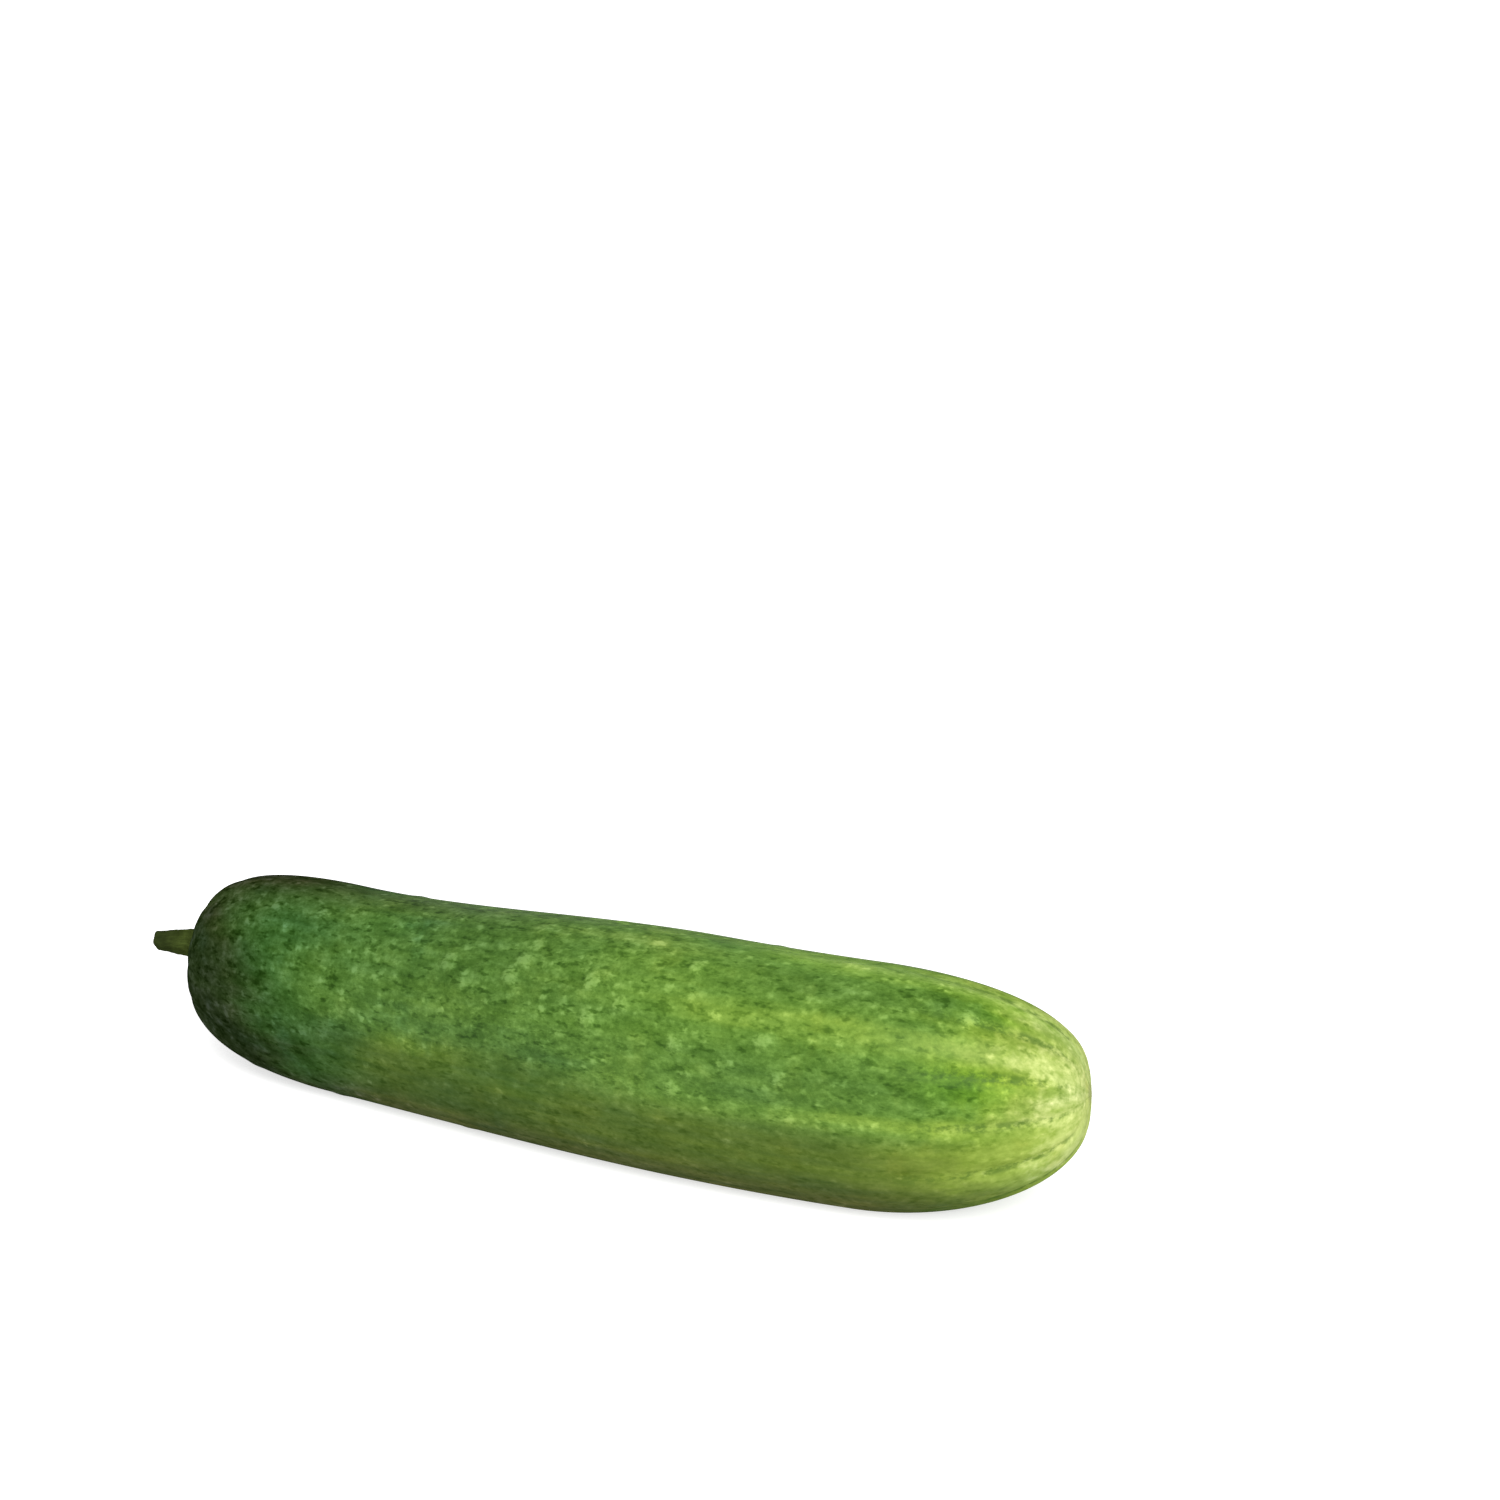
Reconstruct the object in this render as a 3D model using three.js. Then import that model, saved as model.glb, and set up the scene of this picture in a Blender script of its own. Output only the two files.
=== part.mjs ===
// A cucumber lying on its belly, picked with a stub of its stem.
// Millimetres, +Z up. X runs along the fruit, from the stem end to the blossom end.
// The fruit is one solid and the stem stub is another, seated in a dimple with a hair of air between.
import * as THREE from 'three';

// Fruit outline
const FRUIT_LENGTH = 175;
const STEM_END_RADIUS = 18.78;
const BLOSSOM_END_RADIUS = 21.35;
const SWELL_START = 29.5; // distance from the stem end where the fruit begins to thicken
const SWELL_END = 106.5; // distance from the stem end where it reaches its full girth
const STEM_CAP_LENGTH = 30.5;
const STEM_CAP_POWER = 0.475; // under 1 is blunter than half an ellipse
const BLOSSOM_CAP_LENGTH = 38.7;
const BLOSSOM_CAP_POWER = 0.806;

// How the fruit bends and lies
const BOW = 7.6; // how far the middle stands out sideways from the line between the ends
const BOW_SKEW = 4.64; // moves the sharpest bend towards the blossom end
const STEM_RISE = 1.36; // how far the stem seat lies above the middle of its end
const BLOSSOM_RISE = 1.82; // how far the blossom scar lies above the middle of its end
const BELLY_PRESS = 0.4; // how far the round belly is let into the table, which makes its flat

// Cross-section: three soft lobes, one for each seed chamber, and shallow lengthwise furrows
const LOBE_COUNT = 3;
const LOBE_DEPTH = 0.06; // share of the radius
const LOBE_ANGLE = 30; // degrees from the top of the fruit
const FURROW_COUNT = 12;
const FURROW_ANGLE = 60; // degrees from the top of the fruit
const FURROW_SHARPNESS = 3;
const FURROW_DEPTH = 0.006; // share of the radius, along the whole fruit
const FURROW_DEPTH_AT_STEM = 0.018; // added at the stem end
const FURROW_DEPTH_AT_BLOSSOM = 0.034; // added at the blossom end
const FURROW_FADE = 24; // how far the deeper furrows run from each end

// Stem dimple and blossom scar
const DIMPLE_DEPTH = 1.3;
const DIMPLE_RADIUS = 6.4;
const PUCKER_DEPTH = 0.9;
const PUCKER_RADIUS = 6;
const SCAR_HEIGHT = 0.5;
const SCAR_RADIUS = 2.4;

// Warts: low, round, and scattered thinly
const WART_RADIUS = 2.4;
const WART_HEIGHT = 0.38;
const SMALL_WART_HEIGHT = 0.16;
const SMALL_WART_COUNT = 64;
const SMALL_WART_FIRST = 14; // distances from the stem end
const SMALL_WART_LAST = 152;
const SMALL_WART_STRAY = 11; // how far one strays off its spiral, in degrees
const GOLDEN_ANGLE = 137.508;
// The large warts of the front side: distance from the stem end and degrees from the top.
const LARGE_WARTS = [
  [63.2, 45], [70.3, 47], [76.2, 47], [77.8, 39], [92, 43], [92.5, 61], [98.2, 52],
  [109, 28], [109, 65], [109, 88], [124, 57], [127.7, 73], [157, 29],
];

// Stem stub
const STEM_REACH = 12.5; // from the fruit's end to the cut, along the fruit's line
const STEM_DROOP = 1.5; // how far the cut hangs below the seat
const STEM_SEAT_RUN = 2.5; // how far the stem runs straight out of its seat
const STEM_GAP = 0.54;
const STEM_CUT_RADIUS = 1.68;
const STEM_ROOT_RADIUS = 3.3;
const STEM_FLARE = 0.3; // extra radius where the stem meets the fruit
const STEM_FLARE_LENGTH = 1.6;
const STEM_RIDGE_COUNT = 5;
const STEM_RIDGE_HEIGHT = 0.07; // share of the radius
const CUT_BEVEL = 0.18;
const CUT_HOLLOW = 0.3;

// Mesh fineness
const FRUIT_COLUMNS = 72;
const FRUIT_RINGS = 70;
const OUTLINE_STEPS = 2000;
const STEM_COLUMNS = 20;
const STEM_RINGS = 12;

const UP = new THREE.Vector3(0, 0, 1);
const HALF_LENGTH = FRUIT_LENGTH / 2;

// The girth without its caps: a slim stem end eases into a fuller blossom end.
function bodyRadius(x) {
  const swell = THREE.MathUtils.smoothstep(x, SWELL_START, SWELL_END);
  return THREE.MathUtils.lerp(STEM_END_RADIUS, BLOSSOM_END_RADIUS, swell);
}

// 1 along the body, and falling to 0 at each tip as a power of a quarter circle's sine.
function fullness(x) {
  const stemTurn = Math.acos(1 - Math.min(x / STEM_CAP_LENGTH, 1));
  const blossomTurn = Math.acos(1 - Math.min((FRUIT_LENGTH - x) / BLOSSOM_CAP_LENGTH, 1));
  return Math.sin(stemTurn) ** STEM_CAP_POWER * Math.sin(blossomTurn) ** BLOSSOM_CAP_POWER;
}

// The line through the middle of the fruit. It bows sideways and turns up at both ends.
function centre(x) {
  const q = (x - HALF_LENGTH) / HALF_LENGTH;
  const nearStem = Math.max(1 - x / STEM_CAP_LENGTH, 0);
  const nearBlossom = Math.max(1 - (FRUIT_LENGTH - x) / BLOSSOM_CAP_LENGTH, 0);
  const side = BOW * (q ** 2 - 1) + BOW_SKEW * (q ** 3 - q);
  const lift = STEM_RISE * nearStem ** 2 + BLOSSOM_RISE * nearBlossom ** 2;
  return new THREE.Vector3(x - HALF_LENGTH, side, bodyRadius(x) - BELLY_PRESS + lift);
}

// The fruit's own directions at x: along it, towards its front, and up.
function axesAt(x) {
  const step = 0.5;
  const along = centre(x + step).sub(centre(x - step)).normalize();
  const front = along.clone().cross(UP).normalize();
  const up = front.clone().cross(along);
  return { along, front, up };
}

// Ring places spaced evenly along the outline, tips left out.
function ringPlaces() {
  const places = [0];
  const lengths = [0];
  for (let i = 1; i <= OUTLINE_STEPS; i += 1) {
    const x = HALF_LENGTH * (1 - Math.cos((Math.PI * i) / OUTLINE_STEPS));
    const last = places[i - 1];
    const climb = bodyRadius(x) * fullness(x) - bodyRadius(last) * fullness(last);
    places.push(x);
    lengths.push(lengths[i - 1] + Math.hypot(x - last, climb));
  }
  const rings = [];
  let i = 0;
  for (let ring = 1; ring <= FRUIT_RINGS; ring += 1) {
    const target = (lengths[OUTLINE_STEPS] * ring) / (FRUIT_RINGS + 1);
    while (lengths[i + 1] < target) i += 1;
    const share = (target - lengths[i]) / (lengths[i + 1] - lengths[i]);
    rings.push(THREE.MathUtils.lerp(places[i], places[i + 1], share));
  }
  return rings;
}

// Every wart sits on a crossing of a ring and a column, so that a vertex makes its peak.
function makeWarts(rings) {
  const wanted = LARGE_WARTS.map(([x, angle]) => ({ x, angle, height: WART_HEIGHT }));
  for (let k = 0; k < SMALL_WART_COUNT; k += 1) {
    const share = (k + 0.5) / SMALL_WART_COUNT;
    const angle = k * GOLDEN_ANGLE + SMALL_WART_STRAY * Math.sin(k * k);
    const x = THREE.MathUtils.lerp(SMALL_WART_FIRST, SMALL_WART_LAST, share);
    wanted.push({ x, angle, height: SMALL_WART_HEIGHT });
  }
  return wanted.map(({ x, angle, height }) => {
    const nearest = rings.reduce((best, ring) => (Math.abs(ring - x) < Math.abs(best - x) ? ring : best));
    const column = Math.round((angle / 360) * FRUIT_COLUMNS);
    return { x: nearest, turn: (column / FRUIT_COLUMNS) * 2 * Math.PI, height };
  });
}

// Height of the warts at one spot: each is a smooth cap that ends at its own edge.
function wartHeight(warts, x, turn, radius) {
  let height = 0;
  for (const wart of warts) {
    const around = radius * Math.atan2(Math.sin(turn - wart.turn), Math.cos(turn - wart.turn));
    const distance = Math.hypot(x - wart.x, around) / WART_RADIUS;
    height += distance < 1 ? wart.height * (1 - distance ** 2) ** 2 : 0;
  }
  return height;
}

// The lobes and furrows, as a share of the radius.
function sectionShape(x, turn) {
  const lobeTurn = turn - THREE.MathUtils.degToRad(LOBE_ANGLE);
  const furrowTurn = turn - THREE.MathUtils.degToRad(FURROW_ANGLE);
  const lobe = LOBE_DEPTH * fullness(x) * Math.cos(LOBE_COUNT * lobeTurn);
  const furrow = ((1 + Math.cos(FURROW_COUNT * furrowTurn)) / 2) ** FURROW_SHARPNESS;
  const depth = FURROW_DEPTH
    + FURROW_DEPTH_AT_STEM * Math.exp(-((x / FURROW_FADE) ** 2))
    + FURROW_DEPTH_AT_BLOSSOM * Math.exp(-(((FRUIT_LENGTH - x) / FURROW_FADE) ** 2));
  return (1 + lobe) * (1 - depth * furrow);
}

// How far the skin moves along the fruit at a distance from the tip's own axis:
// in at the stem's dimple, and in at the blossom's pucker but out again at its scar.
function tipPush(x, radius) {
  if (x < HALF_LENGTH) return DIMPLE_DEPTH * Math.exp(-((radius / DIMPLE_RADIUS) ** 4));
  const pucker = PUCKER_DEPTH * Math.exp(-((radius / PUCKER_RADIUS) ** 2));
  const scar = SCAR_HEIGHT * Math.exp(-((radius / SCAR_RADIUS) ** 4));
  return scar - pucker;
}

// One point of the skin. The turn goes from the top over the front to the belly and the back.
function skinPoint(warts, x, turn) {
  const { along, front, up } = axesAt(x);
  const plain = bodyRadius(x) * fullness(x);
  const radius = plain * sectionShape(x, turn) + wartHeight(warts, x, turn, plain);
  const point = centre(x)
    .addScaledVector(up, radius * Math.cos(turn))
    .addScaledVector(front, radius * Math.sin(turn))
    .addScaledVector(along, tipPush(x, plain));
  point.z = Math.max(point.z, 0);
  return point;
}

// A closed skin from rings of points, with a tip point at each end.
function closedSkin(firstTip, rings, lastTip) {
  const columns = rings[0].length;
  const points = [firstTip, ...rings.flat(), lastTip];
  const lastIndex = points.length - 1;
  const index = [];
  for (let column = 0; column < columns; column += 1) {
    const next = (column + 1) % columns;
    index.push(0, 1 + next, 1 + column);
    for (let ring = 0; ring < rings.length - 1; ring += 1) {
      const here = 1 + ring * columns;
      const beyond = here + columns;
      index.push(here + column, here + next, beyond + column);
      index.push(here + next, beyond + next, beyond + column);
    }
    const lastRing = lastIndex - columns;
    index.push(lastRing + column, lastRing + next, lastIndex);
  }
  const geometry = new THREE.BufferGeometry().setFromPoints(points);
  geometry.setIndex(index);
  geometry.computeVertexNormals();
  return geometry;
}

function makeFruit() {
  const places = ringPlaces();
  const warts = makeWarts(places);
  const rings = places.map((x) => {
    const ring = [];
    for (let column = 0; column < FRUIT_COLUMNS; column += 1) {
      ring.push(skinPoint(warts, x, (column / FRUIT_COLUMNS) * 2 * Math.PI));
    }
    return ring;
  });
  const geometry = closedSkin(skinPoint([], 0, 0), rings, skinPoint([], FRUIT_LENGTH, 0));
  const skin = new THREE.MeshStandardMaterial({ color: 0x5c8f32, roughness: 0.42, metalness: 0 });
  const mesh = new THREE.Mesh(geometry, skin);
  mesh.name = 'fruit';
  return mesh;
}

// The stem leaves its seat square to the dimple's floor and then droops towards its cut.
function stemLine() {
  const { along } = axesAt(0);
  const seat = centre(0).addScaledVector(along, DIMPLE_DEPTH - STEM_GAP);
  const bend = seat.clone().addScaledVector(along, -STEM_SEAT_RUN);
  const level = new THREE.Vector3(along.x, along.y, 0).normalize();
  const cut = centre(0).addScaledVector(level, -STEM_REACH);
  cut.z -= STEM_DROOP;
  return new THREE.QuadraticBezierCurve3(seat, bend, cut);
}

// Five blunt ridges run along the stem, which widens towards the fruit.
function stemRadius(share, length, turn) {
  const taper = THREE.MathUtils.lerp(STEM_ROOT_RADIUS, STEM_CUT_RADIUS, share);
  const flare = STEM_FLARE * Math.exp(-(((share * length) / STEM_FLARE_LENGTH) ** 2));
  return (taper + flare) * (1 + STEM_RIDGE_HEIGHT * Math.cos(STEM_RIDGE_COUNT * turn));
}

function makeStem() {
  const line = stemLine();
  const length = line.getLength();
  const ringAt = (share, inset, push) => {
    const away = line.getTangentAt(share);
    const side = UP.clone().cross(away).normalize();
    const up = away.clone().cross(side);
    const middle = line.getPointAt(share).addScaledVector(away, push);
    const ring = [];
    for (let column = 0; column < STEM_COLUMNS; column += 1) {
      const turn = (column / STEM_COLUMNS) * 2 * Math.PI;
      const radius = stemRadius(share, length, turn) - inset;
      ring.push(middle.clone().addScaledVector(side, radius * Math.cos(turn))
        .addScaledVector(up, radius * Math.sin(turn)));
    }
    return ring;
  };
  const rings = [];
  for (let ring = 0; ring <= STEM_RINGS; ring += 1) {
    rings.push(ringAt(ring / STEM_RINGS, 0, ring === STEM_RINGS ? -CUT_BEVEL : 0));
  }
  rings.push(ringAt(1, CUT_BEVEL, 0));
  const hollow = line.getPointAt(1).addScaledVector(line.getTangentAt(1), -CUT_HOLLOW);
  const geometry = closedSkin(line.getPointAt(0), rings, hollow);
  const bark = new THREE.MeshStandardMaterial({ color: 0x3f4d1b, roughness: 0.8, metalness: 0 });
  const mesh = new THREE.Mesh(geometry, bark);
  mesh.name = 'stem';
  return mesh;
}

// The origin is under the middle of the whole cucumber, on the table.
const cucumber = new THREE.Group();
cucumber.add(makeFruit(), makeStem());
const box = new THREE.Box3().setFromObject(cucumber);
const middle = box.getCenter(new THREE.Vector3());
cucumber.position.set(-middle.x, -middle.y, -box.min.z);

export default cucumber;
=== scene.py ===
"""The looks of a cucumber that lies on its belly, with a stub of its stem.

The fruit and the stem are each one closed skin worked out from formulas. Shapes are reckoned in
millimetres on the fruit's own lines, and set into the frame, in metres, at the very end.
A place, x, runs along the fruit from 0 at its stem end. An angle is in degrees and a turn is in
radians, both round the fruit: 0 at the top, 90 degrees at its front, 180 at its belly.
A span is a pair of numbers, where something starts and where it is full.
"""

import math

import bpy
import numpy as np
from mathutils import Matrix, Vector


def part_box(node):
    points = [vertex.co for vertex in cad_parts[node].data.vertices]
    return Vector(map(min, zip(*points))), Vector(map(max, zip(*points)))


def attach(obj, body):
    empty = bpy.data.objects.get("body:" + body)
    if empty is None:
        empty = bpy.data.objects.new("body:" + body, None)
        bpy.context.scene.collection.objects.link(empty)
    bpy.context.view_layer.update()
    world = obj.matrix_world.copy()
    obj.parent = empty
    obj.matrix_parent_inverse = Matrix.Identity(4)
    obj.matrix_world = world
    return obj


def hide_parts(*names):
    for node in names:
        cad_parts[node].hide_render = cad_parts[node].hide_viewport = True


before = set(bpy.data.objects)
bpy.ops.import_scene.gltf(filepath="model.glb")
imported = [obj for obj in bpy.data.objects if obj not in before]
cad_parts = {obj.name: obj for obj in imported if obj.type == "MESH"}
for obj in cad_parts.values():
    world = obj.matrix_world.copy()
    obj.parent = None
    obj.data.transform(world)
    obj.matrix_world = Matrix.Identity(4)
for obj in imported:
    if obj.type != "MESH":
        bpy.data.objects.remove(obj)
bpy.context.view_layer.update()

MM = 0.001

# Fruit outline
FRUIT_LENGTH = 175.0
STEM_END_RADIUS = 18.78
BLOSSOM_END_RADIUS = 21.35
SWELL_SPAN = (29.5, 106.5)
STEM_CAP_LENGTH = 30.5
STEM_CAP_POWER = 0.475
BLOSSOM_CAP_LENGTH = 38.7
BLOSSOM_CAP_POWER = 0.806
HALF_LENGTH = FRUIT_LENGTH / 2

# How the fruit bends and lies
BOW = 7.6
BOW_SKEW = 4.64
STEM_RISE = 1.36
BLOSSOM_RISE = 1.82
BELLY_PRESS = 0.4

# Cross-section
LOBE_COUNT = 3
LOBE_DEPTH = 0.06
LOBE_ANGLE = 30.0
FURROW_COUNT = 12
FURROW_ANGLE = 60.0
FURROW_SHARPNESS = 3
FURROW_DEPTH = 0.006
FURROW_DEPTH_AT_STEM = 0.018
FURROW_DEPTH_AT_BLOSSOM = 0.034
FURROW_FADE = 24.0

# Stem dimple and blossom scar
DIMPLE_DEPTH = 1.3
DIMPLE_RADIUS = 6.4
PUCKER_DEPTH = 0.9
PUCKER_RADIUS = 6.0
SCAR_HEIGHT = 0.5
SCAR_RADIUS = 2.4

# Warts
WART_RADIUS = 2.4
WART_HEIGHT = 0.38
SPOT_SHARE = 0.9  # of a wart's radius, how far its pale spot reaches
SMALL_WART_HEIGHT = 0.16
SMALL_WART_PALENESS = 0.42
SMALL_WART_COUNT = 64
SMALL_WART_FIRST = 14.0
SMALL_WART_LAST = 152.0
SMALL_WART_STRAY = 11.0
GOLDEN_ANGLE = 137.508
# Place along the fruit, angle round it, and how pale the spot on it is
LARGE_WARTS = (
    (63.2, 45, 1.4), (70.3, 47, 0.0), (76.2, 47, 1.25), (77.8, 39, 0.8), (92, 43, 1.2),
    (92.5, 61, 0.95), (98.2, 52, 0.7), (109, 28, 0.9), (109, 65, 0.75), (109, 88, 1.15),
    (124, 57, 1.0), (127.7, 73, 0.75), (157, 29, 0.9),
)
# Pale spots that don't stand up from the skin, given the same way
FLAT_SPOTS = ((46, 44, 1.0), (79, 29, 0.7), (100, 17, 0.85), (115, 49, 0.55))

# Stem stub
STEM_REACH = 12.5
STEM_DROOP = 1.5
STEM_SEAT_RUN = 2.5
STEM_SINK = 0.35  # how deep its root sits in the floor of the dimple
STEM_CUT_RADIUS = 1.68
STEM_ROOT_RADIUS = 3.3
STEM_FLARE = 0.3
STEM_FLARE_LENGTH = 1.6
STEM_RIDGE_COUNT = 5
STEM_RIDGE_HEIGHT = 0.07
STEM_TWIST = 0.25
STEM_FIBRES = ((0.012, 23, 0.0), (0.01, 37, 1.1))  # height, count and start of each set
STEM_LUMPS = ((0.02, 1.7, 2), (0.012, 4.1, 0))  # height, and waves along the stem and round it
CUT_BEVEL = 0.18
CUT_HOLLOW = 0.3

# Mesh fineness
FRUIT_COLUMNS = 320
FRUIT_RINGS = 300
OUTLINE_STEPS = 2000
AXIS_STEP = 0.5
STEM_COLUMNS = 120
STEM_RINGS = 150
STEM_BEVEL_RINGS = 7
STEM_FACE_RINGS = 6
STEM_LINE_STEPS = 400

# Where the eye is: how far it is turned round the fruit, how far it looks down, and how far off
VIEW_TURN = 26.35
VIEW_DROP = 22.0
VIEW_DISTANCE = 994.75
VIEW_LENS = 135.0
FILM_WIDTH = 36.0
PICTURE_SIZE = 1500.0
AIM_HEIGHT = 21.0
AIM_PIXEL_X = 637.04  # where the fruit's middle falls in the picture
AIM_PIXEL_Y = 1017.59

# Lights and table top, in metres and watts
KEY_PLACE = (4.6, -5.9, 6.4)
KEY_AIM = (0.0, 0.0, 0.02)
KEY_SIZE = 6.5
KEY_POWER = 1600.0
SKY_STRENGTH = 0.7
TABLE_HALF_WIDTH = 8.0
TABLE_GREY = 0.55
TABLE_ROUGHNESS = 0.9
TABLE_GLOW = 0.65
WHITE = (1.0, 1.0, 1.0)


# ---------------------------------------------------------------- shape of the fruit

def smooth_step(value, start, end):
    """0 before start, 1 after end, and a cubic ease between them."""
    share = np.clip((value - start) / (end - start), 0.0, 1.0)
    return share * share * (3.0 - 2.0 * share)


def bell(value, width):
    """A Gauss bell that is 1 at 0 and 1/e at width."""
    return np.exp(-((value / width) ** 2))


def plateau(value, width):
    """A flat-topped bell, with the fourth power in place of the square."""
    return np.exp(-((value / width) ** 4))


def unit(vectors):
    """The same directions, one long."""
    return vectors / np.linalg.norm(vectors, axis=-1, keepdims=True)


def turn_gap(turn, angle):
    """The signed way round from an angle to a turn, in radians."""
    gap = turn - math.radians(angle)
    return np.arctan2(np.sin(gap), np.cos(gap))


def angle_bell(turn, angle, width):
    """A bell round the fruit, at an angle and that many degrees wide."""
    return bell(np.degrees(turn_gap(turn, angle)), width)


def body_radius(x):
    """The girth without its caps: a slim stem end eases into a fuller blossom end."""
    swell = smooth_step(x, *SWELL_SPAN)
    return STEM_END_RADIUS + (BLOSSOM_END_RADIUS - STEM_END_RADIUS) * swell


def fullness(x):
    """1 along the body, falling to 0 at each tip as a power of a quarter circle's sine."""
    stem_turn = np.arccos(1.0 - np.clip(x / STEM_CAP_LENGTH, 0.0, 1.0))
    blossom_turn = np.arccos(1.0 - np.clip((FRUIT_LENGTH - x) / BLOSSOM_CAP_LENGTH, 0.0, 1.0))
    return np.sin(stem_turn) ** STEM_CAP_POWER * np.sin(blossom_turn) ** BLOSSOM_CAP_POWER


def centre_line(x):
    """The line through the middle of the fruit: bowed sideways by a square and a skewing cube of
    the place, and lifted at both ends by the square of how far into its cap a place is."""
    q = (x - HALF_LENGTH) / HALF_LENGTH
    near_stem = np.maximum(1.0 - x / STEM_CAP_LENGTH, 0.0)
    near_blossom = np.maximum(1.0 - (FRUIT_LENGTH - x) / BLOSSOM_CAP_LENGTH, 0.0)
    side = BOW * (q ** 2 - 1.0) + BOW_SKEW * (q ** 3 - q)
    lift = STEM_RISE * near_stem ** 2 + BLOSSOM_RISE * near_blossom ** 2
    return np.stack([x - HALF_LENGTH, side, body_radius(x) - BELLY_PRESS + lift], axis=-1)


def fruit_axes(x):
    """The fruit's own directions at x: along it, towards its front, and up."""
    along = unit(centre_line(x + AXIS_STEP) - centre_line(x - AXIS_STEP))
    front = unit(np.cross(along, (0.0, 0.0, 1.0)))
    return along, front, np.cross(front, along)


def ring_places(count):
    """Places of that many rings, spaced evenly along the outline, tips left out."""
    x = HALF_LENGTH * (1.0 - np.cos(np.linspace(0.0, math.pi, OUTLINE_STEPS + 1)))
    radius = body_radius(x) * fullness(x)
    lengths = np.concatenate([[0.0], np.cumsum(np.hypot(np.diff(x), np.diff(radius)))])
    targets = lengths[-1] * np.arange(1, count + 1) / (count + 1)
    return np.interp(targets, lengths, x)


def wart_list():
    """Each wart's place, angle, height and paleness: the large ones of the front side, the flat
    spots, then small ones that stray off a golden spiral."""
    k = np.arange(SMALL_WART_COUNT)
    share = (k + 0.5) / SMALL_WART_COUNT
    small_x = SMALL_WART_FIRST + (SMALL_WART_LAST - SMALL_WART_FIRST) * share
    small_angle = k * GOLDEN_ANGLE + SMALL_WART_STRAY * np.sin(k * k)
    small_pale = np.full(SMALL_WART_COUNT, SMALL_WART_PALENESS)
    large = np.array(LARGE_WARTS + FLAT_SPOTS, dtype=float)
    small = np.stack([small_x, small_angle, small_pale], axis=-1)
    x, angle, pale = np.concatenate([large, small]).T
    counts = (len(LARGE_WARTS), len(FLAT_SPOTS), SMALL_WART_COUNT)
    height = np.repeat([WART_HEIGHT, 0.0, SMALL_WART_HEIGHT], counts)
    return x, angle, height, pale


def wart_relief(x, turn, radius):
    """Height of the warts, each the smooth cap (1 - d^2)^2 of its distance d, and how near a spot
    is to their middles, which is a cone over each."""
    relief = np.zeros_like(x)
    crown = np.zeros_like(x)
    for wart_x, angle, height, pale in zip(*wart_list()):
        distance = np.hypot(x - wart_x, radius * turn_gap(turn, angle)) / WART_RADIUS
        relief += height * np.maximum(1.0 - distance ** 2, 0.0) ** 2
        crown = np.maximum(crown, pale * (1.0 - distance / SPOT_SHARE))
    return relief, crown


def furrow_line(turn):
    """1 in the middle of each of the lengthwise furrows: a cosine round the fruit, sharpened."""
    wave = np.cos(FURROW_COUNT * turn_gap(turn, FURROW_ANGLE))
    return ((1.0 + wave) / 2.0) ** FURROW_SHARPNESS


def section_shape(x, turn):
    """The lobes and furrows as a share of the radius: a soft three-lobed round, with furrows
    that deepen towards both ends."""
    lobe = LOBE_DEPTH * fullness(x) * np.cos(LOBE_COUNT * turn_gap(turn, LOBE_ANGLE))
    depth = FURROW_DEPTH + FURROW_DEPTH_AT_STEM * bell(x, FURROW_FADE)
    depth = depth + FURROW_DEPTH_AT_BLOSSOM * bell(FRUIT_LENGTH - x, FURROW_FADE)
    return (1.0 + lobe) * (1.0 - depth * furrow_line(turn))


def tip_push(x, radius):
    """How far the skin moves along the fruit near its tips: in at the stem's dimple, and in at
    the blossom's pucker but out again at its scar. All fade with the distance from the axis."""
    dimple = DIMPLE_DEPTH * plateau(radius, DIMPLE_RADIUS)
    scar = SCAR_HEIGHT * plateau(radius, SCAR_RADIUS)
    pucker = PUCKER_DEPTH * bell(radius, PUCKER_RADIUS)
    return np.where(x < HALF_LENGTH, dimple, scar - pucker)


# ---------------------------------------------------------------- tone of the skin

# Sides of the fruit: the angle that each faces, and how many degrees from it the side starts
# and is full, or how wide its bell is
BELLY_ANGLE = 168.0
BELLY_SPAN = (80.0, 59.0)
BELLY_CLIMB = 8.0  # how much higher its edge runs on the slim part of the fruit
BELLY_CLIMB_PLACE = 66.0
BELLY_CLIMB_LENGTH = 26.0
UNDERSIDE_ANGLE = 180.0
UNDERSIDE_SPAN = (62.0, 35.0)
RIM_SPAN = (63.0, 32.0)
BACK_ANGLE = -95.0
BACK_SPAN = (100.0, 60.0)
BACK_SHOULDER_ANGLE = -50.0
BACK_SHOULDER_SPAN = (75.0, 50.0)
FRONT_ANGLE = 52.0
FRONT_WIDTH = 45.0
SUNNY_ANGLE = 28.0  # the side where the dark of the stem end gives way soonest
SUNNY_WIDTH = 24.0

# Tone of the skin: 0 is a blackish green and 1 a cream
STEM_END_TONE = 0.05
BODY_TONE = 0.50
BODY_TONE_START = 9.0
BODY_TONE_LATER_ON_BELLY = 6.0
BODY_TONE_SOONER_IN_SUN = 23.0
BODY_TONE_FULL = 48.0
BODY_TONE_SOONER_IN_FRONT = 14.0
BODY_TONE_LATER_BEHIND = 14.0
BACK_WAVES = ((3.0, 3), (2.5, 7))  # reach and count of the waves in the dark end's edge
BLOSSOM_TONE = 0.11
BLOSSOM_TONE_SPAN = (62.0, 110.0)
PALE_SWATHE_TONE = 0.16
GREEN_SWATHE_TONE = -0.07
# The belly is darker: partly its own colour, partly painted shade where it faces down.
BELLY_COLOUR_AND_SHADE_TONE = -0.11
BELLY_COLOUR_AND_SHADE_TONE_AHEAD = -0.04  # more of it towards the blossom end
BELLY_COLOUR_AND_SHADE_TONE_SPAN = (60.0, 110.0)
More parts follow.
